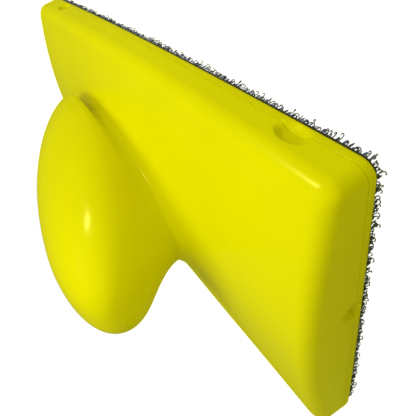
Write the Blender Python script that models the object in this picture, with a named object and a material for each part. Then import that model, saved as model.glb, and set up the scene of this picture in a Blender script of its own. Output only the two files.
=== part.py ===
"""Hand sanding block: a one-piece moulded grip body on a glued hook tape.

Frame: metres, origin at the centre of the footprint, on the surface that the hooks rest on.
+X runs along the length, +Y across the width, +Z up through the palm dome.
"""
import bpy
import bmesh
from math import atan2, cos, pi, sin, sqrt

MM = 0.001

# Plate of the moulded body: the footprint takes a standard 70 x 125 mm hook-and-loop sheet
LENGTH = 124.68 * MM         # between corners; the ends bow out a little more
WIDTH = 69.4 * MM
END_BOW = 0.16 * MM
SIDE_BOW = 1.09 * MM
CORNER_RADIUS = 2.4 * MM
LIP_HEIGHT = 1.0 * MM        # straight band at the foot of the walls
LIP_STEP = 0.2 * MM          # the walls stand back from that band
WALL_DRAFT = 0.34 * MM       # inward lean of the walls up to the edge rounding
EDGE_THICKNESS = 6.78 * MM   # body thickness at the plate's corners
EDGE_SAG = 0.71 * MM         # the long edges are this much thinner half way along
EDGE_RADIUS = 2.85 * MM
CROWN = 5.79 * MM            # extra thickness along the middle of the plate
CROWN_NEAR = 0.77            # part of the crown that is left at the +X end
CROWN_FAR = 0.68             # the same at the -X end, where the top falls off later
FAR_POWER = 4.3

# Palm grip, as rings: foot of the fillet on the plate, waist of the neck, widest of the dome
FOOT_X = 7.48 * MM
FOOT_HALF = (37.94 * MM, 26.35 * MM)
FOOT_SQUARENESS = 2.2
WAIST_X = -0.38 * MM
WAIST_HALF = (30.78 * MM, 15.87 * MM)
WAIST_HEIGHT = 14.09 * MM
DOME_X = 0.76 * MM
DOME_HALF = (33.55 * MM, 19.55 * MM)
DOME_HEIGHT = 22.75 * MM
DOME_RISE = 15.06 * MM
DOME_SQUARENESS = 2.09
TIP_SOFTNESS = 0.14          # rounds the four points of the dome's plan
DOME_TILT = 0.127            # rise per length towards +X
DOME_DROOP = 5.48 * MM       # the dome's two long sides hang this much lower
DOME_SWEEP = 3.52 * MM       # and lie this much further back
DOME_TOP_SHIFT = 10.95 * MM  # the top lies this much further towards +X
WAIST_ASKEW = 0.4            # share of the tilt, droop and sweep that the waist takes
# How far each cubic's handles reach, as shares of the way between its rings
FOOT_REACH = 0.7
UNDER_WAIST_REACH = 0.6
OVER_WAIST_REACH = 0.35
UNDER_DOME_REACH = 0.38

# Hook tape under the body, from the ground up
HOOK_PILE = 1.5 * MM
TAPE_THICKNESS = 0.5 * MM
GLUE_THICKNESS = 0.25 * MM
GAP = 0.3 * MM               # clearance that the touching layers keep
TAPE_INSET = 0.4 * MM
HOOK_INSET = 0.6 * MM
GLUE_INSET = 0.7 * MM

# Mould locating-pin marks at the foot of the walls: (wall, place along it), from the middle
PIN_MARKS = (("long", 50.7 * MM), ("long", -46.2 * MM), ("short", 4.6 * MM))
MARK_RADIUS = 2.3 * MM
MARK_OFFSET = 0.35           # how far outside the wall the scoop's centre is, in radii
LONG_MARK_STRETCH = (1.25, 0.75, 0.85)
SHORT_MARK_STRETCH = (0.75, 0.8, 0.8)

# Facets
LONG_STEPS = 28
SHORT_STEPS = 16
CORNER_STEPS = 5
ROUNDING_STEPS = 5
PLATE_STEPS = 4
FILLET_STEPS = 8
NECK_STEPS = 8
DOME_STEPS = 9
SHARP_ANGLE = 0.6            # edges that turn more than this stay sharp, in radians


def clear_scene():
    for item in list(bpy.data.objects):
        bpy.data.objects.remove(item, do_unlink=True)


def make_material(name, colour, roughness):
    material = bpy.data.materials.new(name)
    material.use_nodes = True
    shader = material.node_tree.nodes["Principled BSDF"]
    shader.inputs["Base Color"].default_value = (*colour, 1.0)
    shader.inputs["Roughness"].default_value = roughness
    shader.inputs["Metallic"].default_value = 0.0
    return material


def add_object(name, mesh, material):
    item = bpy.data.objects.new(name, mesh)
    bpy.context.scene.collection.objects.link(item)
    mesh.materials.append(material)
    return item


def rounded_rectangle(half_x, half_y, radius):
    """Counter-clockwise outline, the same number of points for any size."""
    points = []
    corners = ((1, -1, -pi / 2, SHORT_STEPS), (1, 1, 0.0, LONG_STEPS),
               (-1, 1, pi / 2, SHORT_STEPS), (-1, -1, pi, LONG_STEPS))
    for number, (side_x, side_y, start, steps) in enumerate(corners):
        centre_x = side_x * (half_x - radius)
        centre_y = side_y * (half_y - radius)
        for step in range(CORNER_STEPS + 1):
            angle = start + 0.5 * pi * step / CORNER_STEPS
            points.append((centre_x + radius * cos(angle), centre_y + radius * sin(angle)))
        next_x, next_y = corners[(number + 1) % 4][:2]
        first = points[-1]
        turn = start + 0.5 * pi
        last = (next_x * (half_x - radius) + radius * cos(turn),
                next_y * (half_y - radius) + radius * sin(turn))
        for step in range(1, steps):
            share = step / steps
            points.append((first[0] + (last[0] - first[0]) * share,
                           first[1] + (last[1] - first[1]) * share))
    return points


def bowed(ring):
    """The same ring with the plate's sides and ends bowed gently outward."""
    moved = []
    for x, y, z in ring:
        middle_x = max(1.0 - (2 * x / LENGTH) ** 2, 0.0)
        middle_y = max(1.0 - (2 * y / WIDTH) ** 2, 0.0)
        moved.append((x + END_BOW * middle_y * 2 * x / LENGTH,
                      y + SIDE_BOW * middle_x * 2 * y / WIDTH, z))
    return moved


def column_angles():
    """Angle of each column round the grip, so that plate corners lie on the diagonals."""
    outline = rounded_rectangle(LENGTH / 2, WIDTH / 2, CORNER_RADIUS)
    return [atan2(y / WIDTH, x / LENGTH) for x, y in outline]


def softened(value, softness):
    """Absolute value with a rounded bottom, still 1 at 1."""
    top = sqrt(1.0 + softness ** 2) - softness
    return (sqrt(value ** 2 + softness ** 2) - softness) / top


def grip_ring(angles, centre_x, half_axes, height, squareness, softness=0.0):
    """Level superellipse round a vertical axis of the grip."""
    ring = []
    for angle in angles:
        across = softened(cos(angle), softness)
        along = softened(sin(angle), softness)
        reach = (across ** squareness + along ** squareness) ** (-1 / squareness)
        ring.append((centre_x + half_axes[0] * reach * cos(angle),
                     half_axes[1] * reach * sin(angle), height))
    return ring


def plate_top(x, y):
    """Height of the crowned plate above the body's base."""
    middle = 1.0 - (2 * x / LENGTH) ** 2
    across = 1.0 - (2 * y / WIDTH) ** 2
    if x >= 0:
        along = CROWN_NEAR + (1.0 - CROWN_NEAR) * middle
    else:
        along = CROWN_FAR + (1.0 - CROWN_FAR) * (1.0 - abs(2 * x / LENGTH) ** FAR_POWER)
    return EDGE_THICKNESS - EDGE_SAG * middle + CROWN * across * along


def on_plate(base, points):
    """The same points, set on the plate's top."""
    return [(x, y, base + plate_top(x, y)) for x, y, _ in points]


def wall_rings(base):
    """Lip, drafted wall and edge rounding of the plate."""
    def inset_ring(inset, height_at):
        radius = max(CORNER_RADIUS - 0.4 * inset, 0.3 * CORNER_RADIUS)
        outline = rounded_rectangle(LENGTH / 2 - inset, WIDTH / 2 - inset, radius)
        return [(x, y, base + height_at(x, y)) for x, y in outline]

    rings = [inset_ring(0.0, lambda x, y: 0.0),
             inset_ring(0.0, lambda x, y: LIP_HEIGHT),
             inset_ring(LIP_STEP, lambda x, y: LIP_HEIGHT + LIP_STEP)]
    for step in range(ROUNDING_STEPS + 1):
        angle = 0.5 * pi * step / ROUNDING_STEPS
        inset = LIP_STEP + WALL_DRAFT + EDGE_RADIUS * (1.0 - cos(angle))
        drop = EDGE_RADIUS * (1.0 - sin(angle))
        rings.append(inset_ring(inset, lambda x, y: plate_top(x, y) - drop))
    return rings


def between(outer, inner, share):
    """Ring a share of the way from the outer one to the inner one."""
    return [tuple(a + (b - a) * share for a, b in zip(*pair)) for pair in zip(outer, inner)]


def bezier_rings(start, start_handle, end_handle, end, steps):
    """Rings along one cubic curve in each column; the start ring is left out."""
    rings = []
    for step in range(1, steps + 1):
        t = step / steps
        weights = ((1 - t) ** 3, 3 * (1 - t) ** 2 * t, 3 * (1 - t) * t ** 2, t ** 3)
        ring = []
        for column in zip(start, start_handle, end_handle, end):
            ring.append(tuple(sum(w * point[axis] for w, point in zip(weights, column))
                              for axis in range(3)))
        rings.append(ring)
    return rings


def shifted(ring, rise, push=0.0):
    return [(x + push, y, z + rise) for x, y, z in ring]


def set_askew(ring, amount=1.0):
    """Tilts a level ring and lets its long sides droop and sweep back, as the palm dome's do."""
    moved = []
    for x, y, z in ring:
        side = (y / DOME_HALF[1]) ** 2
        rise = DOME_TILT * (x - DOME_X) - DOME_DROOP * side
        moved.append((x - amount * DOME_SWEEP * side, y, z + amount * rise))
    return moved


def dome_ring(base, angles, turn):
    """Ring of the dome: turn 0 is the widest one, a quarter turn is its top."""
    half_axes = (DOME_HALF[0] * cos(turn), DOME_HALF[1] * cos(turn))
    centre_x = DOME_X + DOME_TOP_SHIFT * sin(turn)
    height = base + DOME_HEIGHT + DOME_RISE * sin(turn)
    return set_askew(grip_ring(angles, centre_x, half_axes, height, DOME_SQUARENESS, TIP_SOFTNESS))


def grip_body_rings(base):
    """Every ring of the body, from its base to just under the dome's top."""
    angles = column_angles()
    rings = wall_rings(base)
    edge = rings[-1]
    foot = on_plate(base, grip_ring(angles, FOOT_X, FOOT_HALF, 0.0, FOOT_SQUARENESS))
    waist = grip_ring(angles, WAIST_X, WAIST_HALF, base + WAIST_HEIGHT, 2.0)
    waist = set_askew(waist, WAIST_ASKEW)
    widest = dome_ring(base, angles, 0.0)
    rings += [on_plate(base, between(edge, foot, step / PLATE_STEPS)) for step in range(1, PLATE_STEPS)]
    rings.append(foot)

    foot_handle = on_plate(base, between(foot, waist, FOOT_REACH))
    fillet_rise = WAIST_HEIGHT - EDGE_THICKNESS - CROWN
    rings += bezier_rings(foot, foot_handle, shifted(waist, -UNDER_WAIST_REACH * fillet_rise),
                          waist, FILLET_STEPS)
    neck_rise = DOME_HEIGHT - WAIST_HEIGHT
    drop = UNDER_DOME_REACH * neck_rise
    push = drop * DOME_TOP_SHIFT / DOME_RISE     # so that the neck runs smoothly into the dome
    rings += bezier_rings(waist, shifted(waist, OVER_WAIST_REACH * neck_rise),
                          shifted(widest, -drop - DOME_TILT * push, -push), widest, NECK_STEPS)
    rings += [dome_ring(base, angles, 0.5 * pi * step / DOME_STEPS) for step in range(1, DOME_STEPS)]
    return [bowed(ring) for ring in rings]


def skin(rings, apex):
    """Closed mesh over the rings, with a flat base and one point on top."""
    count = len(rings[0])
    points = [point for ring in rings for point in ring] + [apex]
    faces = [tuple(reversed(range(count)))]
    for level in range(len(rings) - 1):
        low = level * count
        high = low + count
        for column in range(count):
            after = (column + 1) % count
            faces.append((low + column, low + after, high + after, high + column))
    last = (len(rings) - 1) * count
    for column in range(count):
        faces.append((last + column, last + (column + 1) % count, len(points) - 1))
    mesh = bpy.data.meshes.new("body")
    mesh.from_pydata(points, [], faces)
    mesh.validate()
    return mesh


def cut_pin_mark(body, number, wall, place, base):
    """Shallow scoop that a mould locating pin leaves at the foot of a wall."""
    outward = MARK_OFFSET * MARK_RADIUS
    if wall == "long":
        bow = SIDE_BOW * (1.0 - (2 * place / LENGTH) ** 2)
        centre = (place, WIDTH / 2 + bow + outward, base + LIP_HEIGHT)
        stretch = LONG_MARK_STRETCH
    else:
        bow = END_BOW * (1.0 - (2 * place / WIDTH) ** 2)
        centre = (LENGTH / 2 + bow + outward, place, base + LIP_HEIGHT)
        stretch = SHORT_MARK_STRETCH
    bpy.ops.mesh.primitive_ico_sphere_add(subdivisions=2, radius=MARK_RADIUS, location=centre)
    cutter = bpy.context.object
    cutter.name = f"pin_mark_cutter_{number}"
    cutter.scale = stretch
    cutter.hide_render = True
    cutter.display_type = "WIRE"
    cut = body.modifiers.new(f"pin mark {number}", "BOOLEAN")
    cut.operation = "DIFFERENCE"
    cut.object = cutter


def make_grip_body(base):
    top = (DOME_X + DOME_TOP_SHIFT, 0.0, base + DOME_HEIGHT + DOME_RISE)
    mesh = skin(grip_body_rings(base), *bowed(set_askew([top])))
    mesh.shade_smooth()
    mesh.set_sharp_from_angle(angle=SHARP_ANGLE)
    material = make_material("yellow integral-skin foam", (0.80, 0.76, 0.0), 0.32)
    body = add_object("grip_body", mesh, material)
    for number, (wall, place) in enumerate(PIN_MARKS):
        cut_pin_mark(body, number, wall, place, base)
    return body


def make_layer(name, inset, low, thickness, material):
    """Flat layer with the footprint's outline, set back from its edge."""
    flat = rounded_rectangle(LENGTH / 2 - inset, WIDTH / 2 - inset, CORNER_RADIUS - inset)
    outline = bowed([(x, y, low) for x, y in flat])
    shape = bmesh.new()
    face = shape.faces.new([shape.verts.new(point) for point in outline])
    raised = bmesh.ops.extrude_face_region(shape, geom=[face])
    top = [item for item in raised["geom"] if isinstance(item, bmesh.types.BMVert)]
    bmesh.ops.translate(shape, verts=top, vec=(0.0, 0.0, thickness))
    bmesh.ops.recalc_face_normals(shape, faces=shape.faces)
    mesh = bpy.data.meshes.new(name)
    shape.to_mesh(mesh)
    shape.free()
    return add_object(name, mesh, material)


def main():
    clear_scene()
    hooks = make_material("hook monofilament", (0.10, 0.11, 0.16), 0.45)
    tape = make_material("black tape weave", (0.02, 0.02, 0.03), 0.85)
    glue = make_material("contact adhesive", (0.05, 0.045, 0.03), 0.6)
    level = 0.0
    make_layer("hook_field", HOOK_INSET, level, HOOK_PILE, hooks)
    level += HOOK_PILE + GAP
    make_layer("hook_tape_backing", TAPE_INSET, level, TAPE_THICKNESS, tape)
    level += TAPE_THICKNESS + GAP
    make_layer("adhesive_film", GLUE_INSET, level, GLUE_THICKNESS, glue)
    level += GLUE_THICKNESS + GAP
    make_grip_body(level)


main()
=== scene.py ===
"""Looks of a hand sanding block: moulded foam grip body on a glued hook tape.

The CAD frame gives every size and place. +X runs along the block, +Y across it, +Z up.
"""
from math import cos, pi, sin, sqrt

import bpy
import numpy as np
from mathutils import Matrix, Vector


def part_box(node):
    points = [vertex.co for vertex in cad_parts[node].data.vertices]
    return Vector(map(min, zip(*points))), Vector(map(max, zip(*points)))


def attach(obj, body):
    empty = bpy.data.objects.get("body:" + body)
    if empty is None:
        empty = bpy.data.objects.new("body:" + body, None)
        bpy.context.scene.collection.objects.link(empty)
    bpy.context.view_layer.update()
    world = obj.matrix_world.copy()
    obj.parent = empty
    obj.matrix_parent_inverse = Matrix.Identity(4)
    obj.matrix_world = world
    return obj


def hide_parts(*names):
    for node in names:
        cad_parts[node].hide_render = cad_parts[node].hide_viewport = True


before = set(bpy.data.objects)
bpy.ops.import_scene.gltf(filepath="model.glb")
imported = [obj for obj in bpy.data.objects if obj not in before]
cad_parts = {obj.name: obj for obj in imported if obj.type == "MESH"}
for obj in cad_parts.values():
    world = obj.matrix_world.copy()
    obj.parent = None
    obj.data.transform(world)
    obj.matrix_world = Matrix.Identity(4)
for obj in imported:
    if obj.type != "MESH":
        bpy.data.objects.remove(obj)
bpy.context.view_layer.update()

MM = 0.001
RANDOM_SEED = 7

# ---------------------------------------------------------------- sizes that the frame gives
FILM_LOW, FILM_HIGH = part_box("adhesive_film")
TAPE_LOW, TAPE_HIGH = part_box("hook_tape_backing")
HOOK_LOW, HOOK_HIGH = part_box("hook_field")
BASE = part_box("grip_body")[0].z

# ---------------------------------------------------------------- shape of the moulded body
# Plate of the moulded body: the footprint takes a standard 70 x 125 mm hook-and-loop sheet
LENGTH = 124.68 * MM         # between corners; the ends bow out a little more
WIDTH = 69.4 * MM
END_BOW = 0.16 * MM
SIDE_BOW = 1.09 * MM
CORNER_RADIUS = 2.4 * MM
LIP_HEIGHT = 1.0 * MM        # straight band at the foot of the walls
LIP_STEP = 0.05 * MM         # the walls stand back this much from that band
LIP_ROUNDING = 0.2 * MM      # rounds the band's edges; the upper one leaves a fine groove
LIP_FOLD = 0.02 * MM         # height of that groove's upper side
RIM_DROP = 0.55 * MM         # the rim reaches this far down over the glue line
RIM_WIDTH = 0.62 * MM
RIM_EDGE = 0.02 * MM         # height of the rim's inner lower edge
CORNER_TIGHTENING = 0.4      # how fast the corner radius shrinks as the outline moves in
SMALLEST_CORNER = 0.3        # smallest corner radius, as a share of CORNER_RADIUS
WALL_DRAFT = 0.34 * MM       # inward lean of the walls up to the edge rounding
EDGE_THICKNESS = 6.78 * MM   # body thickness at the plate's corners
EDGE_SAG = 0.71 * MM         # the long edges are this much thinner half way along
EDGE_RADIUS = 2.85 * MM
CROWN = 5.79 * MM            # extra thickness along the middle of the plate
CROWN_NEAR = 0.77            # part of the crown that is left at the +X end
CROWN_FAR = 0.68             # the same at the -X end, where the top falls off later
FAR_POWER = 4.3

# Palm grip, as rings: foot of the fillet on the plate, waist of the neck, widest of the dome
FOOT_X = 7.48 * MM
FOOT_HALF = (37.94 * MM, 26.35 * MM)
FOOT_SQUARENESS = 2.2
WAIST_X = -0.38 * MM
WAIST_HALF = (30.78 * MM, 15.87 * MM)
WAIST_HEIGHT = 14.09 * MM
WAIST_SQUARENESS = 2.0
DOME_X = 0.76 * MM
DOME_HALF = (33.55 * MM, 19.55 * MM)
DOME_HEIGHT = 22.75 * MM
DOME_RISE = 15.06 * MM
DOME_SQUARENESS = 2.09
TIP_SOFTNESS = 0.14          # rounds the four points of the dome's plan
DOME_TILT = 0.127            # rise per length towards +X
DOME_DROOP = 5.48 * MM       # the dome's two long sides hang this much lower
DOME_SWEEP = 3.52 * MM       # and lie this much further back
DOME_TOP_SHIFT = 10.95 * MM  # the top lies this much further towards +X
WAIST_ASKEW = 0.4            # share of the tilt, droop and sweep that the waist takes
# How far each cubic's handles reach, as shares of the way between its rings
FOOT_REACH = 0.7
UNDER_WAIST_REACH = 0.6
OVER_WAIST_REACH = 0.35
UNDER_DOME_REACH = 0.38

# Mould locating-pin marks: (wall, place along it, half length, half height)
PIN_MARKS = (("long", 50.7 * MM, 2.7 * MM, 1.9 * MM),
             ("long", -46.2 * MM, 2.7 * MM, 1.9 * MM),
             ("short", 4.6 * MM, 2.0 * MM, 1.7 * MM))
PIN_MARK_DEPTH = 1.1 * MM
PIN_MARK_FLATNESS = 2.2      # how steep the rims of the marks are
PIN_MARK_SOFTNESS = 0.06     # rounding of those rims
PIN_MARK_RISE = 0.4          # height of a mark's centre above the lip, in its half heights
PIN_MARK_LIMIT = 1.6         # squared distance, in half sizes, past which a wall is left alone

# Slow unevenness of the foam: its size, and the height over which it grows from nothing
UNEVENNESS = 0.03 * MM
UNEVENNESS_RAMP_MM = 6.0

# Mesh density of the body
SHARE_SAMPLES = 4000         # samples along a side, from which its points are spread
MARK_DENSITY = 2.6           # extra points along a wall where a pin mark is
MARK_SPREAD = 1.1            # how far they reach, in half lengths of the mark
LIP_ROUNDING_STEPS = 4
LONG_STEPS = 100
SHORT_STEPS = 56
CORNER_STEPS = 10
WALL_STEPS = 18
ROUNDING_STEPS = 12
PLATE_STEPS = 12
FILLET_STEPS = 26
NECK_STEPS = 26
DOME_STEPS = 34

# ---------------------------------------------------------------- hook tape
HOOK_ROW_PITCH = 1.2 * MM
HOOK_PITCH = 1.0 * MM
HOOK_SCATTER = 0.13 * MM     # how far roots stray from their row
HOOK_TURN = 0.55             # how far hooks turn from their row's direction, in radians
EDGE_HOOK_PITCH = 0.55 * MM  # along the cut edge of the tape, where torn loops stand out
EDGE_HOOK_SCATTER = 0.08 * MM
EDGE_HOOK_TURN = 0.9
CORNER_HOOK_START = 0.1      # angle of a corner's first hook, in radians
CORNER_HOOK_REACH = 0.97     # distance of a corner's hooks from its centre, in corner radii
CORNER_HOOK_TURN = 0.7
HOOK_MARGIN = 0.15 * MM
HOOK_BATCHES = 5

FILAMENT_RADIUS = 0.08 * MM
FILAMENT_SIDES = 5
FILAMENT_SPREAD = (0.9, 1.1)
ROOT_DEPTH = 0.05 * MM       # the filaments start this far inside the tape
SHORTEST_HOOK = 0.45         # as a share of the pile height
HOOK_CURL_RADIUS = 0.26 * MM
CURL_SPREAD = (0.8, 1.2)
CURL_TURNS = (1.05, 1.45)    # how far the hooks curl over, in half turns
HOOK_LEAN = 0.10             # spread of the stems' lean, out per down
HOOK_TWIST = 0.12            # spread of the hooks' drift, aside per out
STEM_STEPS = 4
CURL_STEPS = 8
STUB_HEIGHTS = (0.25, 0.5)   # the cut stubs beside the hooks, as shares of the pile height
STUB_DISTANCE = 1.8 * HOOK_CURL_RADIUS
STUB_LEAN = 0.12 * MM
STUB_STEPS = 4

RIB_PITCH = HOOK_ROW_PITCH
RIB_DEPTH = 0.12 * MM
RIB_WAVE = 0.3               # share of a rib's depth that changes from hook to hook
RIBBED_GRID = (250, 200)     # steps along and across a layer with ribs, and one without
PLAIN_GRID = (120, 70)
EDGE_WANDER_STEP = 3         # grid steps between the turning points of an uneven edge
EDGE_WANDER_POWERS = (60, 40)  # how close to the ends and the sides it keeps
TAPE_EDGE_WANDER = 0.10 * MM
GLUE_EDGE_WANDER = 0.30 * MM
GLUE_SQUEEZE = 0.2 * MM      # the glue fills this much of the gaps above and below it
TAPE_SHARP_ANGLE = 0.9

# ---------------------------------------------------------------- colours: (ramp place, colour)
FOAM_COLOURS = ((0.3, (0.790, 0.745, 0.0)), (0.7, (0.830, 0.790, 0.0)))
FOAM_GLOSS_TINT = (1.0, 0.95, 0.15, 1.0)
# much bluer than neutral light would need, to hold its colour in the warm light
FILAMENT_COLOURS = ((0.35, (0.06, 0.085, 0.4)), (0.7, (0.2, 0.26, 0.9)))
TAPE_COLOURS = ((0.3, (0.006, 0.006, 0.009)), (0.75, (0.045, 0.045, 0.06)))
GLUE_COLOURS = ((0.3, (0.035, 0.032, 0.018)), (0.7, (0.09, 0.08, 0.04)))
WHITE = (1.0, 1.0, 1.0)

# ---------------------------------------------------------------- surfaces: scales are per metre
NOISE_MIDDLE = (0.3, 0.7)    # the part of a noise's range that carries its change
FOAM_TONE_SCALE = 38.0
FOAM_WEAR_SCALE = 120.0
FOAM_ROUGHNESS = (0.19, 0.26)
FOAM_PEEL_SCALE = 900.0
FOAM_PEEL_DEPTH = 0.05 * MM
FOAM_SWELL_SCALE = 90.0
FOAM_SWELL_DEPTH = 0.3 * MM
FOAM_BUMP = 0.10
FOAM_IOR = 1.47
FOAM_SPECULAR = 0.32
NYLON_TONE_SCALE = 700.0
NYLON_ROUGHNESS = (0.22, 0.4)
NYLON_IOR = 1.53
WEAVE_TONE_SCALE = 1500.0
WEAVE_FIBRE_SCALE = 600.0
WEAVE_FIBRE_DISTORTION = 2.0
WEAVE_RELIEF = 0.08 * MM
WEAVE_BUMP = 0.6
WEAVE_ROUGHNESS = 0.8
WEAVE_SHEEN = 0.3
GLUE_TONE_SCALE = 400.0
GLUE_RELIEF = 0.1 * MM
GLUE_BUMP = 0.5
GLUE_ROUGHNESS = 0.5
FLOOR_ROUGHNESS = 0.9

# ---------------------------------------------------------------- studio
WORLD_LIGHT = 0.38           # strength of the surround as a light; the camera sees it as white
WORLD_TINT = (1.0, 0.99, 0.12)   # yellow, for warm fill and reflections
FLOOR_SIZE = 6.0
FLOOR_COLOUR = (0.62, 0.62, 0.08, 1.0)   # yellow, for a warm bounce; the camera sees it as white
FLOOR_GLOW = 1.0             # extra brightness of the floor as the camera sees it
SOFTBOX_AIM = (0.015, 0.005, 0.025)
# Name, place, size, power, and whether it shows as a highlight
SOFTBOXES = (("key_softbox", (-0.10, 0.30, 0.90), (0.45, 0.45), 3.3, False),
             ("strip_beside_the_dome", (-0.028, 0.177, 0.137), (0.010, 0.032), 0.095, True),
             ("fill_over_the_end", (0.060, 0.030, 0.062), (0.03, 0.03), 0.0062, False))

# ---------------------------------------------------------------- camera
CAMERA_PLACE = Vector((83.239, 70.638, 37.806)) * MM
CAMERA_RIGHT = Vector((0.52432, -0.19274, -0.82942))
CAMERA_FORWARD = Vector((-0.75722, -0.55108, -0.35062))
SENSOR_MM = 36.0
LENS_MM = 34.6258
LENS_SHIFT = (0.09351, -0.21707)
NEAREST = 0.005
FURTHEST = 20.0


# ================================================================ body outline and rings
def side_shares(steps, length, marks):
    """Places from 0 to 1 along one straight side, closer together where a pin mark is."""
    fine = np.linspace(0.0, 1.0, SHARE_SAMPLES + 1)
    place = (fine - 0.5) * length
    density = np.ones_like(fine)
    for centre, half in marks:
        density += MARK_DENSITY * np.exp(-((place - centre) / (MARK_SPREAD * half)) ** 4)
    total = np.concatenate([[0.0], np.cumsum(0.5 * (density[1:] + density[:-1]))])
    count = int(round(steps * total[-1] / SHARE_SAMPLES))
    return np.interp(np.linspace(0.0, total[-1], count + 1), total, fine)


def marks_on(wall, sign):
    """Centre and half length of each pin mark on a wall; sign is the wall's own direction."""
    return [(sign * place, half) for name, place, half, _ in PIN_MARKS if name == wall]


def corner_layout():
    """Sides in counter-clockwise order: corner signs, start angle and shares of the side after it."""
    long_side = LENGTH - 2 * CORNER_RADIUS
    short_side = WIDTH - 2 * CORNER_RADIUS
    return ((1, -1, -pi / 2, side_shares(SHORT_STEPS, short_side, marks_on("short", 1))),
            (1, 1, 0.0, side_shares(LONG_STEPS, long_side, marks_on("long", -1))),
            (-1, 1, pi / 2, side_shares(SHORT_STEPS, short_side, ())),
            (-1, -1, pi, side_shares(LONG_STEPS, long_side, ())))


LAYOUT = corner_layout()


def rounded_rectangle(half_x, half_y, radius):
    """Counter-clockwise outline as an array, with the same number of points for any size."""
    parts = []
    for number, (side_x, side_y, start, shares) in enumerate(LAYOUT):
        centre = np.array([side_x * (half_x - radius), side_y * (half_y - radius)])
        angle = start + 0.5 * pi * np.arange(CORNER_STEPS + 1) / CORNER_STEPS
        arc = centre + radius * np.stack([np.cos(angle), np.sin(angle)], 1)
        next_x, next_y = LAYOUT[(number + 1) % 4][:2]
        turn = start + 0.5 * pi
        end = np.array([next_x * (half_x - radius) + radius * cos(turn),
                        next_y * (half_y - radius) + radius * sin(turn)])
        parts += [arc, arc[-1] + (end - arc[-1]) * shares[1:-1, None]]
    return np.concatenate(parts)


def column_angles():
    """Angle of each column round the grip, so that plate corners lie on the diagonals."""
    outline = rounded_rectangle(LENGTH / 2, WIDTH / 2, CORNER_RADIUS)
    return np.arctan2(outline[:, 1] / WIDTH, outline[:, 0] / LENGTH)


ANGLES = column_angles()


def softened(value, softness):
    """Absolute value with a rounded bottom, still 1 at 1."""
    top = sqrt(1.0 + softness ** 2) - softness
    return (np.sqrt(value ** 2 + softness ** 2) - softness) / top


def grip_ring(centre_x, half_axes, height, squareness, softness=0.0):
    """Level superellipse round a vertical axis of the grip."""
    across, along = softened(np.cos(ANGLES), softness), softened(np.sin(ANGLES), softness)
    reach = (across ** squareness + along ** squareness) ** (-1 / squareness)
    x = centre_x + half_axes[0] * reach * np.cos(ANGLES)
    y = half_axes[1] * reach * np.sin(ANGLES)
    return np.stack([x, y, np.full_like(x, height)], 1)


def plate_top(x, y):
    """Height of the crowned plate above the body's base."""
    middle = 1.0 - (2 * x / LENGTH) ** 2
    across = 1.0 - (2 * y / WIDTH) ** 2
    near = CROWN_NEAR + (1.0 - CROWN_NEAR) * middle
    far = CROWN_FAR + (1.0 - CROWN_FAR) * (1.0 - np.abs(2 * x / LENGTH) ** FAR_POWER)
    return EDGE_THICKNESS - EDGE_SAG * middle + CROWN * across * np.where(x >= 0, near, far)


def bowed(points):
    """The same points with the plate's sides and ends bowed gently outward."""
    x, y = points[:, 0], points[:, 1]
    middle_x = np.maximum(1.0 - (2 * x / LENGTH) ** 2, 0.0)
    middle_y = np.maximum(1.0 - (2 * y / WIDTH) ** 2, 0.0)
    moved = points.copy()
    moved[:, 0] += END_BOW * middle_y * 2 * x / LENGTH
    moved[:, 1] += SIDE_BOW * middle_x * 2 * y / WIDTH
    return moved


def set_askew(points, amount=1.0):
    """Tilts a level ring and lets its long sides droop and sweep back, as the palm dome's do."""
    side = (points[:, 1] / DOME_HALF[1]) ** 2
    moved = points.copy()
    moved[:, 0] -= amount * DOME_SWEEP * side
    moved[:, 2] += amount * (DOME_TILT * (points[:, 0] - DOME_X) - DOME_DROOP * side)
    return moved


def dome_ring(turn):
    """Ring of the dome: turn 0 is the widest one, a quarter turn is its top."""
    half_axes = (DOME_HALF[0] * cos(turn), DOME_HALF[1] * cos(turn))
    centre_x = DOME_X + DOME_TOP_SHIFT * sin(turn)
    height = BASE + DOME_HEIGHT + DOME_RISE * sin(turn)
    return set_askew(grip_ring(centre_x, half_axes, height, DOME_SQUARENESS, TIP_SOFTNESS))


def on_plate(points):
    """The same points, set on the plate's top."""
    x, y = points[:, 0], points[:, 1]
    return np.stack([x, y, BASE + plate_top(x, y)], 1)


def inset_outline(inset):
    """The plate's outline, moved inward."""
    radius = max(CORNER_RADIUS - CORNER_TIGHTENING * inset, SMALLEST_CORNER * CORNER_RADIUS)
    return rounded_rectangle(LENGTH / 2 - inset, WIDTH / 2 - inset, radius)


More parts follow.
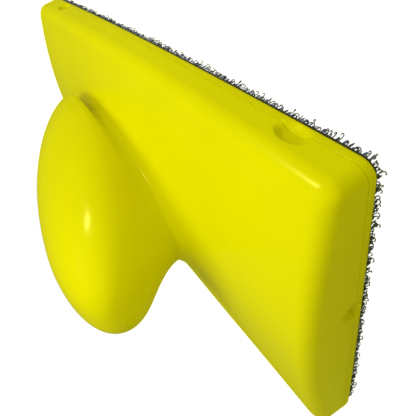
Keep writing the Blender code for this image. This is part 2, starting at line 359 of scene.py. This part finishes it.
def wall_rings():
    """Rim round the glue line, lip, drafted wall and edge rounding."""
    # each entry is the distance in from the outline and the height above the base
    lip = [(RIM_WIDTH, 0.0), (RIM_WIDTH, RIM_EDGE - RIM_DROP), (LIP_ROUNDING, -RIM_DROP),
           (0.3 * LIP_ROUNDING, 0.08 * LIP_ROUNDING - RIM_DROP), (0.0, LIP_ROUNDING - RIM_DROP),
           (0.0, 0.0), (0.0, LIP_HEIGHT - LIP_ROUNDING)]
    for step in range(1, LIP_ROUNDING_STEPS + 1):
        angle = 0.5 * pi * step / LIP_ROUNDING_STEPS
        lip.append((LIP_ROUNDING * (1 - cos(angle)), LIP_HEIGHT - LIP_ROUNDING * (1 - sin(angle))))
    lip.append((LIP_STEP - 2 * LIP_FOLD, LIP_HEIGHT + LIP_FOLD))
    lip.append((LIP_STEP, LIP_HEIGHT + 5 * LIP_FOLD))
    rings = []
    for inset, height in lip:
        outline = inset_outline(inset)
        rings.append(np.column_stack([outline, np.full(len(outline), BASE + height)]))
    foot = rings[-1]
    shoulder = inset_outline(LIP_STEP + WALL_DRAFT)
    shoulder_z = BASE + plate_top(shoulder[:, 0], shoulder[:, 1]) - EDGE_RADIUS
    top = np.column_stack([shoulder, shoulder_z])
    for step in range(1, WALL_STEPS):
        rings.append(foot + (top - foot) * step / WALL_STEPS)
    for step in range(ROUNDING_STEPS + 1):
        angle = 0.5 * pi * step / ROUNDING_STEPS
        outline = inset_outline(LIP_STEP + WALL_DRAFT + EDGE_RADIUS * (1.0 - cos(angle)))
        top = plate_top(outline[:, 0], outline[:, 1]) - EDGE_RADIUS * (1.0 - sin(angle))
        rings.append(np.column_stack([outline, BASE + top]))
    return rings


def bezier_rings(start, start_handle, end_handle, end, steps):
    """Rings along one cubic curve in each column; the start ring is left out."""
    rings = []
    for step in range(1, steps + 1):
        t = step / steps
        rings.append((1 - t) ** 3 * start + 3 * (1 - t) ** 2 * t * start_handle
                     + 3 * (1 - t) * t ** 2 * end_handle + t ** 3 * end)
    return rings


def body_rings():
    """Every ring of the body, and the dome's top point as the last one."""
    rings = wall_rings()
    edge = rings[-1]
    foot = on_plate(grip_ring(FOOT_X, FOOT_HALF, 0.0, FOOT_SQUARENESS))
    waist = grip_ring(WAIST_X, WAIST_HALF, BASE + WAIST_HEIGHT, WAIST_SQUARENESS)
    waist = set_askew(waist, WAIST_ASKEW)
    widest = dome_ring(0.0)
    rings += [on_plate(edge + (foot - edge) * step / PLATE_STEPS) for step in range(1, PLATE_STEPS)]
    rings.append(foot)
    up = np.array([0.0, 0.0, 1.0])
    fillet_rise = WAIST_HEIGHT - EDGE_THICKNESS - CROWN
    foot_handle = on_plate(foot + (waist - foot) * FOOT_REACH)
    rings += bezier_rings(foot, foot_handle, waist - UNDER_WAIST_REACH * fillet_rise * up,
                          waist, FILLET_STEPS)
    neck_rise = DOME_HEIGHT - WAIST_HEIGHT
    lean = DOME_TOP_SHIFT / DOME_RISE
    out_of_neck = UNDER_DOME_REACH * neck_rise * np.array([lean, 0.0, 1.0 + DOME_TILT * lean])
    rings += bezier_rings(waist, waist + OVER_WAIST_REACH * neck_rise * up,
                          widest - out_of_neck, widest, NECK_STEPS)
    rings += [dome_ring(0.5 * pi * step / DOME_STEPS) for step in range(1, DOME_STEPS)]
    top = np.array([[DOME_X + DOME_TOP_SHIFT, 0.0, BASE + DOME_HEIGHT + DOME_RISE]])
    return [bowed(ring) for ring in rings + [set_askew(top)]]


# ================================================================ mesh helpers
def skin(name, rings):
    """Closed mesh over the rings, with a flat base; the last ring is one point on top."""
    count = len(rings[0])
    points = np.concatenate(rings)
    column = np.arange(count)
    after = (column + 1) % count
    low = (np.arange(len(rings) - 2) * count)[:, None]
    quads = np.stack([low + column, low + after, low + count + after, low + count + column], 2)
    last = (len(rings) - 2) * count
    faces = quads.reshape(-1, 4).tolist()
    faces += [(last + int(a), last + int(b), len(points) - 1) for a, b in zip(column, after)]
    faces.append(tuple(range(count - 1, -1, -1)))
    mesh = bpy.data.meshes.new(name)
    mesh.from_pydata(points.tolist(), [], faces)
    mesh.validate()
    mesh.shade_smooth()
    return mesh


def add_piece(name, mesh, material, node):
    """Puts a piece in the scene in the place of a CAD node."""
    piece = bpy.data.objects.new(name, mesh)
    bpy.context.scene.collection.objects.link(piece)
    mesh.materials.append(material)
    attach(piece, "root")
    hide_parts(node)
    return piece


def dent(points, wall, place, half_length, half_height):
    """Presses one shallow pin mark into a wall of the body."""
    along, out, limit = (0, 1, WIDTH / 2) if wall == "long" else (1, 0, LENGTH / 2)
    centre_z = BASE + LIP_HEIGHT + PIN_MARK_RISE * half_height
    near = points[:, out] > limit - LIP_STEP - WALL_DRAFT - 0.5 * EDGE_RADIUS
    reach = (((points[:, along] - place) / half_length) ** 2
             + ((points[:, 2] - centre_z) / half_height) ** 2)
    bowl = 1.0 - reach
    depth = 0.5 * (bowl + np.sqrt(bowl ** 2 + PIN_MARK_SOFTNESS ** 2) - PIN_MARK_SOFTNESS)
    depth = np.tanh(PIN_MARK_FLATNESS * np.maximum(depth, 0.0)) / np.tanh(PIN_MARK_FLATNESS)
    depth = np.where(near & (reach < PIN_MARK_LIMIT), depth, 0.0)
    points[:, out] -= PIN_MARK_DEPTH * depth


def settle(points):
    """Slow unevenness that a foam moulding has, under a tenth of a millimetre."""
    # three crossing waves, 24 to 48 mm long
    x, y, z = points.T / MM
    wave = (np.sin(0.11 * x + 0.07 * y + 0.5) + np.sin(0.17 * y - 0.05 * z + 1.3)
            + np.sin(0.23 * x - 0.13 * z + 2.1) * 0.6)
    lift = np.clip((z - (BASE + LIP_HEIGHT) / MM) / UNEVENNESS_RAMP_MM, 0.0, 1.0)
    points[:, 2] += UNEVENNESS * wave * lift


def make_grip_body(material):
    """The one-piece foam moulding: plate, neck and palm grip."""
    rings = body_rings()
    count = len(rings[0])
    points = np.concatenate(rings)
    for mark in PIN_MARKS:
        dent(points, *mark)
    settle(points)
    rings = [points[start:start + count] for start in range(0, len(points), count)]
    body = add_piece("moulded_grip_body", skin("moulded_grip_body", rings), material,
                     "grip_body")


# ================================================================ hook tape and adhesive
def edge_wave(steps, generator):
    """Uneven line from -1 to 0, with a turning point every few grid steps."""
    turning = np.arange(0, steps + EDGE_WANDER_STEP, EDGE_WANDER_STEP)
    return np.interp(np.arange(steps + 1), turning, generator.uniform(-1, 0, len(turning)))


def round_corners(x, y, half_x, half_y):
    """The same grid of points with the rectangle's corners drawn in to round ones."""
    over_x = np.maximum(np.abs(x) - (half_x - CORNER_RADIUS), 0.0)
    over_y = np.maximum(np.abs(y) - (half_y - CORNER_RADIUS), 0.0)
    far = np.hypot(over_x, over_y)
    both = (over_x > 0) & (over_y > 0)
    square = np.maximum(over_x, over_y)
    shrink = np.where(both & (far > 0), square / np.maximum(far, 1e-9), 1.0)
    return (np.sign(x) * (np.abs(x) - over_x + over_x * shrink),
            np.sign(y) * (np.abs(y) - over_y + over_y * shrink))


def layer_mesh(name, half_x, half_y, low, high, ribs, wander, generator):
    """Flat layer with an uneven edge, and a ribbed underside where ribs is above zero."""
    steps_x, steps_y = RIBBED_GRID if ribs else PLAIN_GRID
    u = np.linspace(-1.0, 1.0, steps_x + 1)
    v = np.linspace(-1.0, 1.0, steps_y + 1)
    half_x, half_y = half_x - END_BOW, half_y - SIDE_BOW
    grid_u, grid_v = np.meshgrid(u, v, indexing="ij")
    x, y = round_corners(grid_u * half_x, grid_v * half_y, half_x, half_y)
    wave_x = edge_wave(steps_y, generator)
    wave_y = edge_wave(steps_x, generator)
    x += wander * np.sign(grid_u) * (np.abs(grid_u) ** EDGE_WANDER_POWERS[0]) * wave_x[None, :]
    y += wander * np.sign(grid_v) * (np.abs(grid_v) ** EDGE_WANDER_POWERS[1]) * wave_y[:, None]
    along_rib = 1 - RIB_WAVE + RIB_WAVE * np.cos(2 * pi * x / HOOK_PITCH)
    rib = ribs * 0.5 * (1 + np.cos(2 * pi * y / RIB_PITCH)) * along_rib
    under = bowed(np.stack([x, y, low + rib], 2).reshape(-1, 3))
    over = bowed(np.stack([x, y, np.full_like(x, high)], 2).reshape(-1, 3))
    index = np.arange((steps_x + 1) * (steps_y + 1)).reshape(steps_x + 1, steps_y + 1)
    a, b = index[:-1, :-1].ravel(), index[1:, :-1].ravel()
    c, d = index[1:, 1:].ravel(), index[:-1, 1:].ravel()
    total = index.size
    faces = np.concatenate([np.stack([a, d, c, b], 1), np.stack([a, b, c, d], 1) + total])
    rim = np.concatenate([index[:-1, 0], index[-1, :-1], index[:0:-1, -1], index[0, :0:-1]])
    after = np.roll(rim, -1)
    faces = np.concatenate([faces, np.stack([rim, after, after + total, rim + total], 1)])
    mesh = bpy.data.meshes.new(name)
    mesh.from_pydata(np.concatenate([under, over]).tolist(), [], faces.tolist())
    mesh.validate()
    return mesh


def row_hooks(half_x, half_y, generator):
    """Roots and headings in staggered rows; the rows face across the tape by turns."""
    rows = np.arange(-half_y, half_y + 1e-9, HOOK_ROW_PITCH)
    rows += (half_y - rows[-1]) / 2
    for number, y in enumerate(rows):
        x = np.arange(-half_x, half_x, HOOK_PITCH) + (number % 2) * 0.5 * HOOK_PITCH
        x = x[x < half_x]
        x = x + generator.normal(0.0, HOOK_SCATTER, len(x))
        strayed_y = y + generator.normal(0.0, HOOK_SCATTER, len(x))
        across = pi / 2 if number % 2 else -pi / 2
        yield np.stack([x, strayed_y], 1), across + generator.normal(0.0, HOOK_TURN, len(x))


def edge_hooks(half_x, half_y, generator):
    """Roots and headings along the straight edges, which mostly face out."""
    for half, reach, at_end in ((half_y, half_x, False), (half_x, half_y, True)):
        straight = reach - CORNER_RADIUS
        along = np.arange(-straight, straight, EDGE_HOOK_PITCH)
        for side in (-1, 1):
            outer = side * (half - np.abs(generator.normal(0.0, EDGE_HOOK_SCATTER, len(along))))
            straight_out = 0.5 * pi * (1 - side) if at_end else 0.5 * pi * side
            headings = straight_out + generator.normal(0.0, EDGE_HOOK_TURN, len(along))
            yield np.stack([outer, along] if at_end else [along, outer], 1), headings


def corner_hooks(half_x, half_y, generator):
    """Roots and headings round the four corners."""
    turn = np.arange(CORNER_HOOK_START, pi / 2, EDGE_HOOK_PITCH / CORNER_RADIUS)
    for side_x in (-1, 1):
        for side_y in (-1, 1):
            out = np.stack([side_x * np.cos(turn), side_y * np.sin(turn)], 1)
            middle = np.array([side_x * (half_x - CORNER_RADIUS), side_y * (half_y - CORNER_RADIUS)])
            headings = np.arctan2(out[:, 1], out[:, 0])
            headings = headings + generator.normal(0.0, CORNER_HOOK_TURN, len(turn))
            yield middle + CORNER_HOOK_REACH * CORNER_RADIUS * out, headings


def hook_places(generator):
    """Root points and headings of every hook on the tape."""
    half_x = HOOK_HIGH.x - END_BOW - HOOK_MARGIN
    half_y = HOOK_HIGH.y - SIDE_BOW - HOOK_MARGIN
    found = []
    for kind in (row_hooks, edge_hooks, corner_hooks):
        found += kind(half_x, half_y, generator)
    roots = np.concatenate([place for place, _ in found])
    headings = np.concatenate([heading for _, heading in found])
    over_x = np.maximum(np.abs(roots[:, 0]) - (half_x - CORNER_RADIUS), 0.0)
    over_y = np.maximum(np.abs(roots[:, 1]) - (half_y - CORNER_RADIUS), 0.0)
    inside = np.hypot(over_x, over_y) < CORNER_RADIUS
    flat = np.column_stack([roots[inside], np.zeros(inside.sum())])
    return bowed(flat)[:, :2], headings[inside]


def tube_points(path, radius, sides):
    """Rings of points round each path; path has the shape (hooks, points, 3)."""
    tangent = np.gradient(path, axis=1)
    tangent /= np.linalg.norm(tangent, axis=2, keepdims=True)
    # the small constant keeps the cross product from vanishing on a straight path
    side = np.cross(tangent, path[:, -1:, :] - path[:, :1, :] + np.array([0.013, 0.007, 0.0]))
    length = np.linalg.norm(side, axis=2, keepdims=True)
    side = side / np.maximum(length, 1e-12)
    other = np.cross(tangent, side)
    turn = 2 * pi * np.arange(sides) / sides
    ring = (side[:, :, None, :] * np.cos(turn)[None, None, :, None]
            + other[:, :, None, :] * np.sin(turn)[None, None, :, None])
    return path[:, :, None, :] + radius[:, None, None, None] * ring


def tube_mesh(name, groups, sides):
    """One mesh from several groups of tubes, with closed ends."""
    points, faces, start = [], [], 0
    turn = np.arange(sides)
    after = (turn + 1) % sides
    for rings in groups:
        tubes, steps = rings.shape[:2]
        points.append(rings.reshape(-1, 3))
        base = start + (np.arange(tubes) * steps * sides)[:, None, None]
        low = base + (np.arange(steps - 1) * sides)[None, :, None]
        quads = np.stack([low + turn, low + after, low + sides + after, low + sides + turn], 3)
        faces += quads.reshape(-1, 4).tolist()
        first = (base[:, 0, :] + turn[::-1][None, :]).tolist()
        last = (base[:, 0, :] + (steps - 1) * sides + turn[None, :]).tolist()
        faces += first + last
        start += tubes * steps * sides
    mesh = bpy.data.meshes.new(name)
    mesh.from_pydata(np.concatenate(points).tolist(), [], faces)
    mesh.shade_smooth()
    return mesh


def hook_centre_lines(roots, headings, top, drop, generator):
    """Stems that lean a little and curl over, one path for each hook."""
    count = len(roots)
    taller = generator.uniform(0.0, 1.0, count) ** 2
    height = drop * (SHORTEST_HOOK + (1.0 - SHORTEST_HOOK) * taller)
    curl = HOOK_CURL_RADIUS * generator.uniform(*CURL_SPREAD, count)
    sweep = generator.uniform(*CURL_TURNS, count) * pi
    lean = generator.normal(0.0, HOOK_LEAN, count)
    steps = np.arange(STEM_STEPS) / STEM_STEPS
    stem = height - curl
    stem_down = stem[:, None] * steps[None, :]
    stem_out = lean[:, None] * stem_down * steps[None, :]
    angle = sweep[:, None] * np.linspace(0.0, 1.0, CURL_STEPS)[None, :]
    curl_out = (lean * stem)[:, None] + curl[:, None] * (1 - np.cos(angle))
    curl_down = stem[:, None] + curl[:, None] * np.sin(angle)
    reach = np.concatenate([stem_out, curl_out], 1)
    down = np.concatenate([stem_down, curl_down], 1)
    aside = generator.normal(0.0, HOOK_TWIST, count)[:, None] * reach
    ahead = np.stack([np.cos(headings), np.sin(headings)], 1)
    across = np.stack([-ahead[:, 1], ahead[:, 0]], 1)
    shift = reach[:, :, None] * ahead[:, None, :] + aside[:, :, None] * across[:, None, :]
    return np.concatenate([roots[:, None, :] + shift, (top - down)[:, :, None]], 2)


def stub_centre_lines(roots, headings, top, drop, generator):
    """The short end of each cut loop, beside its hook."""
    count = len(roots)
    steps = np.linspace(0.0, 1.0, STUB_STEPS)
    height = drop * generator.uniform(*STUB_HEIGHTS, count)
    start = roots + STUB_DISTANCE * np.stack([np.cos(headings), np.sin(headings)], 1)
    lean = STUB_LEAN * generator.normal(0.0, 1.0, (count, 2))
    place = start[:, None, :] + lean[:, None, :] * steps[None, :, None] ** 2
    level = top - height[:, None] * steps[None, :]
    return np.concatenate([place, level[:, :, None]], 2)


def make_hooks(material):
    """Cut-loop hooks: a stem that curls over, and the short stub of the cut loop beside it."""
    generator = np.random.default_rng(RANDOM_SEED)
    roots, headings = hook_places(generator)
    top = TAPE_LOW.z + ROOT_DEPTH
    drop = top - HOOK_LOW.z - FILAMENT_RADIUS
    hooks = hook_centre_lines(roots, headings, top, drop, generator)
    stubs = stub_centre_lines(roots, headings, top, drop, generator)
    radius = FILAMENT_RADIUS * generator.uniform(*FILAMENT_SPREAD, len(roots))
    batches = np.array_split(np.arange(len(roots)), HOOK_BATCHES)
    for number, batch in enumerate(batches, start=1):
        groups = [tube_points(hooks[batch], radius[batch], FILAMENT_SIDES),
                  tube_points(stubs[batch], radius[batch], FILAMENT_SIDES)]
        name = f"hook_rows_{number}"
        mesh = tube_mesh(name, groups, FILAMENT_SIDES)
        add_piece(name, mesh, material, "hook_field")


def make_tape(material):
    """The woven carrier of the hooks, ribbed underneath."""
    generator = np.random.default_rng(RANDOM_SEED + 1)
    mesh = layer_mesh("woven_tape", TAPE_HIGH.x, TAPE_HIGH.y, TAPE_LOW.z, TAPE_HIGH.z,
                      RIB_DEPTH, TAPE_EDGE_WANDER, generator)
    mesh.shade_smooth()
    mesh.set_sharp_from_angle(angle=TAPE_SHARP_ANGLE)
    add_piece("woven_tape", mesh, material, "hook_tape_backing")


def make_adhesive(material):
    """The glue line between the tape and the body."""
    generator = np.random.default_rng(RANDOM_SEED + 2)
    mesh = layer_mesh("glue_line", FILM_HIGH.x, FILM_HIGH.y, FILM_LOW.z - GLUE_SQUEEZE,
                      FILM_HIGH.z + GLUE_SQUEEZE, 0.0, GLUE_EDGE_WANDER, generator)
    add_piece("glue_line", mesh, material, "adhesive_film")


# ================================================================ materials
def new_material(name):
    """Principled material, its node tree and its shader."""
    material = bpy.data.materials.new(name)
    material.use_nodes = True
    return material, material.node_tree, material.node_tree.nodes["Principled BSDF"]


def noise(tree, scale, detail=3.0, roughness=0.5):
    """Noise in the object's own coordinates."""
    node = tree.nodes.new("ShaderNodeTexNoise")
    node.inputs["Scale"].default_value = scale
    node.inputs["Detail"].default_value = detail
    node.inputs["Roughness"].default_value = roughness
    place = tree.nodes.new("ShaderNodeTexCoord")
    tree.links.new(place.outputs["Object"], node.inputs["Vector"])
    return node


def ramp(tree, source, stops):
    """Colour ramp over a value; each stop is a place and a colour."""
    node = tree.nodes.new("ShaderNodeValToRGB")
    elements = node.color_ramp.elements
    while len(elements) < len(stops):
        elements.new(0.5)
    for element, (place, colour) in zip(elements, stops):
        element.position = place
        element.color = (*colour, 1.0)
    tree.links.new(source, node.inputs["Fac"])
    return node


def value_range(tree, source, low, high, out_low, out_high):
    """A value moved from one range to another."""
    node = tree.nodes.new("ShaderNodeMapRange")
    node.inputs["From Min"].default_value = low
    node.inputs["From Max"].default_value = high
    node.inputs["To Min"].default_value = out_low
    node.inputs["To Max"].default_value = out_high
    tree.links.new(source, node.inputs["Value"])
    return node


def bump(tree, height, strength, distance, normal=None):
    """Bump from a height, on top of an earlier normal if one is given."""
    node = tree.nodes.new("ShaderNodeBump")
    node.inputs["Strength"].default_value = strength
    node.inputs["Distance"].default_value = distance
    tree.links.new(height, node.inputs["Height"])
    if normal is not None:
        tree.links.new(normal, node.inputs["Normal"])
    return node


def foam_skin_material():
    """Fluorescent yellow integral-skin foam: fairly glossy, a fine orange peel over a slow swell."""
    material, tree, shader = new_material("yellow_moulded_skin")
    tone = noise(tree, FOAM_TONE_SCALE, 2.0)
    colour = ramp(tree, tone.outputs["Fac"], FOAM_COLOURS)
    tree.links.new(colour.outputs["Color"], shader.inputs["Base Color"])
    wear = noise(tree, FOAM_WEAR_SCALE, 4.0)
    rough = value_range(tree, wear.outputs["Fac"], *NOISE_MIDDLE, *FOAM_ROUGHNESS)
    tree.links.new(rough.outputs["Result"], shader.inputs["Roughness"])
    peel = noise(tree, FOAM_PEEL_SCALE, 3.0)
    first = bump(tree, peel.outputs["Fac"], FOAM_BUMP, FOAM_PEEL_DEPTH)
    swell = noise(tree, FOAM_SWELL_SCALE, 1.0)
    second = bump(tree, swell.outputs["Fac"], FOAM_BUMP, FOAM_SWELL_DEPTH, first.outputs["Normal"])
    tree.links.new(second.outputs["Normal"], shader.inputs["Normal"])
    shader.inputs["IOR"].default_value = FOAM_IOR
    shader.inputs["Specular IOR Level"].default_value = FOAM_SPECULAR
    shader.inputs["Specular Tint"].default_value = FOAM_GLOSS_TINT
    return material


def filament_material():
    """Glossy dark blue nylon."""
    material, tree, shader = new_material("navy_nylon_filament")
    tone = noise(tree, NYLON_TONE_SCALE, 2.0)
    colour = ramp(tree, tone.outputs["Fac"], FILAMENT_COLOURS)
    tree.links.new(colour.outputs["Color"], shader.inputs["Base Color"])
    rough = value_range(tree, tone.outputs["Fac"], *NOISE_MIDDLE, *NYLON_ROUGHNESS)
    tree.links.new(rough.outputs["Result"], shader.inputs["Roughness"])
    shader.inputs["IOR"].default_value = NYLON_IOR
    return material


def weave_material():
    """Matt black weave."""
    material, tree, shader = new_material("black_tape_weave")
    tone = noise(tree, WEAVE_TONE_SCALE, 3.0)
    colour = ramp(tree, tone.outputs["Fac"], TAPE_COLOURS)
    tree.links.new(colour.outputs["Color"], shader.inputs["Base Color"])
    fibres = tree.nodes.new("ShaderNodeTexWave")
    fibres.bands_direction = "X"
    fibres.inputs["Scale"].default_value = WEAVE_FIBRE_SCALE
    fibres.inputs["Distortion"].default_value = WEAVE_FIBRE_DISTORTION
    place = tree.nodes.new("ShaderNodeTexCoord")
    tree.links.new(place.outputs["Object"], fibres.inputs["Vector"])
    relief = bump(tree, fibres.outputs["Fac"], WEAVE_BUMP, WEAVE_RELIEF)
    tree.links.new(relief.outputs["Normal"], shader.inputs["Normal"])
    shader.inputs["Roughness"].default_value = WEAVE_ROUGHNESS
    shader.inputs["Sheen Weight"].default_value = WEAVE_SHEEN
    return material


def adhesive_material():
    """Dark, slightly uneven contact adhesive."""
    material, tree, shader = new_material("contact_adhesive")
    tone = noise(tree, GLUE_TONE_SCALE, 3.0)
    colour = ramp(tree, tone.outputs["Fac"], GLUE_COLOURS)
    tree.links.new(colour.outputs["Color"], shader.inputs["Base Color"])
    relief = bump(tree, tone.outputs["Fac"], GLUE_BUMP, GLUE_RELIEF)
    tree.links.new(relief.outputs["Normal"], shader.inputs["Normal"])
    shader.inputs["Roughness"].default_value = GLUE_ROUGHNESS
    return material


# ================================================================ studio
def make_floor():
    """Yellow floor that bounces warm light; the camera sees it as white."""
    bpy.ops.mesh.primitive_plane_add(size=FLOOR_SIZE, location=(0.0, 0.0, 0.0))
    floor = bpy.context.object
    floor.name = "studio_floor"
    material, tree, shader = new_material("pale_floor")
    shader.inputs["Base Color"].default_value = FLOOR_COLOUR
    shader.inputs["Roughness"].default_value = FLOOR_ROUGHNESS
    shader.inputs["Emission Color"].default_value = (*WHITE, 1.0)
    seen = tree.nodes.new("ShaderNodeLightPath")
    glow = value_range(tree, seen.outputs["Is Camera Ray"], 0.0, 1.0, 0.0, FLOOR_GLOW)
    tree.links.new(glow.outputs["Result"], shader.inputs["Emission Strength"])
    floor.data.materials.append(material)


def make_world():
    """Warm, dim surround as a light, and plain white as the camera sees it."""
    world = bpy.data.worlds.new("studio")
    world.use_nodes = True
    bpy.context.scene.world = world
    tree = world.node_tree
    background = tree.nodes["Background"]
    seen = tree.nodes.new("ShaderNodeLightPath").outputs["Is Camera Ray"]
    shade = ramp(tree, seen, ((0.0, WORLD_TINT), (1.0, WHITE)))
    tree.links.new(shade.outputs["Color"], background.inputs["Color"])
    strength = value_range(tree, seen, 0.0, 1.0, WORLD_LIGHT, 1.0)
    tree.links.new(strength.outputs["Result"], background.inputs["Strength"])


def softbox(name, place, aim, size, power, shiny):
    """Area light that the camera doesn't see; shiny says whether it shows as a highlight."""
    light = bpy.data.lights.new(name, "AREA")
    light.shape = "RECTANGLE"
    light.size, light.size_y = size
    light.energy = power
    item = bpy.data.objects.new(name, light)
    bpy.context.scene.collection.objects.link(item)
    item.location = place
    item.visible_camera = False
    item.visible_glossy = shiny
    item.rotation_euler = (Vector(aim) - Vector(place)).to_track_quat("-Z", "Y").to_euler()


def make_camera():
    """Camera at the photographed angle."""
    right = CAMERA_RIGHT.normalized()
    forward = CAMERA_FORWARD.normalized()
    forward = (forward - right * forward.dot(right)).normalized()
    up = right.cross(forward)
    data = bpy.data.cameras.new("photo_camera")
    data.sensor_width = SENSOR_MM
    data.lens = LENS_MM
    data.shift_x, data.shift_y = LENS_SHIFT
    data.clip_start = NEAREST
    data.clip_end = FURTHEST
    camera = bpy.data.objects.new("photo_camera", data)
    bpy.context.scene.collection.objects.link(camera)
    axes = Matrix((right, up, -forward)).transposed()
    camera.matrix_world = Matrix.Translation(CAMERA_PLACE) @ axes.to_4x4()
    bpy.context.scene.camera = camera


def main():
    """Every piece, then the studio round them."""
    make_grip_body(foam_skin_material())
    make_adhesive(adhesive_material())
    make_tape(weave_material())
    make_hooks(filament_material())
    make_floor()
    make_world()
    for name, place, size, power, shiny in SOFTBOXES:
        softbox(name, place, SOFTBOX_AIM, size, power, shiny)
    make_camera()
    bpy.context.scene.view_settings.view_transform = "Standard"


main()
